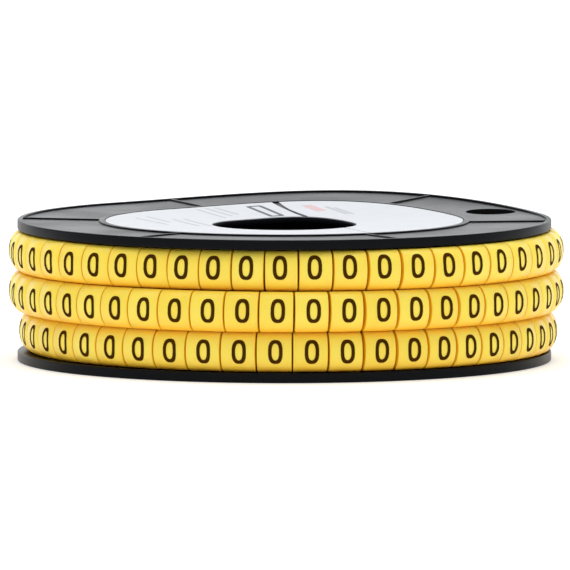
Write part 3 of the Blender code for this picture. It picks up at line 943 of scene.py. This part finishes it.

# %% [markdown]
# ## Yellow PVC
# The strip is soft, slightly see-through PVC. Light goes in at the face and comes out warmer in
# the cuts, which is what makes them glow orange instead of going black. Subsurface scattering does
# that. Shade is also painted into the colour: a browner colour on the cut faces and the web is
# painted shade for the narrow cuts and row gaps, and an orange one towards each marker's lower
# side and on the inner rows is painted warm shade under the rows that overhang. A small shade of
# its own for each marker keeps the rows from looking stamped.

# %% Yellow PVC
PVC_DARK = (0.95, 0.70, 0.066)
PVC_LIGHT = (0.97, 0.77, 0.100)
# The next two colours are painted shade: a warm one towards the lower sides and on the inner rows,
# and a darker one in the cuts and on the web.
PVC_SIDE_SHADE = (0.98, 0.46, 0.018)
PVC_CUT_SHADE = (0.84, 0.44, 0.008)

pvc, shader = new_material("soft_yellow_pvc", {
    "Roughness": 0.38, "IOR": 1.42, "Subsurface Weight": 0.25,
    "Subsurface Radius": (1.0, 0.45, 0.08), "Subsurface Scale": 0.0012})
mean = pvc.node_tree.nodes.new("ShaderNodeMix")
mean.inputs["Factor"].default_value = 0.5
pvc.node_tree.links.new(painted(pvc, "tone"), mean.inputs["A"])
pvc.node_tree.links.new(noise(pvc, scale=120.0, detail=3.0), mean.inputs["B"])
yellow = two_shades(pvc, mean.outputs["Result"], PVC_DARK, PVC_LIGHT, start=0.2, end=0.8)
# Painted shade over the yellow: warm towards each marker's lower side, and darker on the cut faces
# and the web.
with_side_shade = mixed(pvc, painted(pvc, "side"), yellow, PVC_SIDE_SHADE)
cut_shade_mask = ranged(pvc, painted(pvc, "cut_shade"), low=0.8, high=1.0)
pvc.node_tree.links.new(mixed(pvc, cut_shade_mask, with_side_shade, PVC_CUT_SHADE), shader.inputs["Base Color"])
fine_bump(pvc, shader, noise(pvc, scale=1800.0), strength=0.1, distance=0.00004)

show("wound_strip", mesh_from(strip, "wound_strip", pvc, math.radians(50)),
     "marker_strip")

# %% [markdown]
# ## Printed digits
# Each marker has the digit 0 printed on its dome. It is an oval ring of ink, so thin that only
# its colour counts. Three loops of points make it: the outer and the inner edge on the face, and
# one loop sunk under them that closes it. The printing wanders up and down along the strip, as
# the strip turns a little about itself when it is wound.

# %% Digits
DIGIT_HEIGHT = 0.00492
DIGIT_WIDTH = 0.00299
STROKE = 0.00074
OUTER_POWER, INNER_POWER = 2.7, 2.4  # 2 gives an ellipse, and more a squarer oval
DIGIT_STEPS = 20
INK_PROUD = 0.00004
INK_SUNK = 0.00015
PRINT_SLIP = (-0.00027, 0.00033, 0.00025)  # along the strip, for each row
PRINT_DRIFT = {  # up the face, by the angle round the reel, for each row
    0: ((180, -0.0001), (211, -0.0001), (241, 0.0005), (284, 0.00085), (312, 0.0006),
        (336, 0.0005), (540, -0.0001)),
    1: ((180, -0.0003), (211, -0.0003), (241, 0.0001), (265, 0.0004), (285, 0.00038),
        (330, 0.0), (540, -0.0003)),
    2: ((180, 0.0), (241, 0.0), (270, 0.0002), (300, 0.0001), (330, 0.0), (540, 0.0)),
}


def drift_at(row, degrees):
    """How far the print has wandered up the face, at an angle that is first put in the table."""
    stops = PRINT_DRIFT[row]
    return between(stops, (degrees - stops[0][0]) % 360 + stops[0][0], eased)


def dome_height(across):
    share = across / (MARKER_WIDTH / 2)
    return MARKER_HEIGHT - MARKER_CROWN * (1 - math.sqrt(1 - share * share))


def oval(angle, width, height, power):
    cosine, sine = math.cos(angle), math.sin(angle)
    return (math.copysign(abs(cosine) ** (2 / power), cosine) * width / 2,
            math.copysign(abs(sine) ** (2 / power), sine) * height / 2)


def print_digit(bm, marker):
    middle = marker.turn + marker.step / 2
    station = outer_way(middle)
    here, there = (on_marker(marker, along, 0, MARKER_HEIGHT) for along in (0, 1))
    length = (there - here).length
    row = min(round((row_height(0) - station.level) / ROW_PITCH), ROWS - 1)
    up = drift_at(row, math.degrees(CROSSING_START + middle))
    loops = ((0, OUTER_POWER, INK_PROUD), (2 * STROKE, INNER_POWER, INK_PROUD),
             (STROKE, (OUTER_POWER + INNER_POWER) / 2, -INK_SUNK))
    rings = []
    for smaller, power, proud in loops:
        ring = bmesh.ops.create_circle(bm, segments=DIGIT_STEPS, radius=1.0)["verts"]
        ring.sort(key=lambda vert: math.atan2(vert.co.y, vert.co.x) % TURN)
        for number, vert in enumerate(ring):
            along, across = oval(TURN * (number + 0.5) / DIGIT_STEPS, DIGIT_WIDTH - smaller,
                                 DIGIT_HEIGHT - smaller, power)
            across += up
            share = 0.5 + (along + PRINT_SLIP[row]) / length
            vert.co = on_marker(marker, share, across / (MARKER_WIDTH / 2),
                                dome_height(across) + proud)
        rings.append([edge for edge in bm.edges
                      if edge.verts[0] in ring and edge.verts[1] in ring])
    for one, other in ((0, 1), (1, 2), (2, 0)):
        bmesh.ops.bridge_loops(bm, edges=rings[one] + rings[other])


digits = bmesh.new()
for marker in markers:
    if marker.turn + marker.step > ROWS * TURN:
        break
    one = bmesh.new()
    print_digit(one, marker)
    part = bpy.data.meshes.new("digit")
    one.to_mesh(part)
    one.free()
    digits.from_mesh(part)
    bpy.data.meshes.remove(part)
show("printed_digits", mesh_from(digits, "printed_digits", brown_ink, math.radians(30)))

# %% [markdown]
# ## Floor and light
# The reel stands on a plain white floor in soft light from all sides. A wide soft lamp overhead
# gives the tops of the rows their light. The black face mirrors what lies behind the reel, so the
# bright sky and a long lamp there, slightly blue, make it the cool pale grey of the photo.

# %% Floor
FLOOR_DROP = 0.00002

floor_mesh = bpy.data.meshes.new("floor")
bm = bmesh.new()
bmesh.ops.create_grid(bm, x_segments=1, y_segments=1, size=8.0)
bmesh.ops.translate(bm, verts=bm.verts[:], vec=(0, 0, -FLOOR_DROP))
bm.to_mesh(floor_mesh)
bm.free()
floor = placed("floor", floor_mesh)
white, shader = new_material("white_floor", {
    "Base Color": (0.85, 0.85, 0.85, 1.0), "Roughness": 0.9,
    "Emission Color": (1.0, 1.0, 1.0, 1.0), "Emission Strength": 0.3})
floor_mesh.materials.append(white)

# %% Sky
sky = bpy.data.worlds.new("sky")
bpy.context.scene.world = sky
sky.use_nodes = True
background = sky.node_tree.nodes["Background"]
background.inputs["Color"].default_value = (1.0, 1.0, 1.0, 1.0)
background.inputs["Strength"].default_value = 0.75


# %% Lamps
def soft_lamp(name, place, size, power, colour=(1.0, 1.0, 1.0)):
    lamp_data = bpy.data.lights.new(name, "AREA")
    lamp_data.color = colour
    lamp_data.shape = "RECTANGLE"
    lamp_data.size, lamp_data.size_y = size
    lamp_data.energy = power
    lamp = placed(name, lamp_data)
    lamp.location = place
    lamp.rotation_euler = Vector(place).to_track_quat("Z", "Y").to_euler()
    lamp.visible_camera = False


soft_lamp("overhead", (0.0, 0.1, 1.2), (1.4, 1.0), 9.0)
soft_lamp("behind", (0.0, 2.4, 0.40), (3.6, 0.8), 8.0, (0.92, 0.965, 1.0))
bpy.context.scene.view_settings.view_transform = "Standard"
print(len(bpy.data.lights), "lamps")
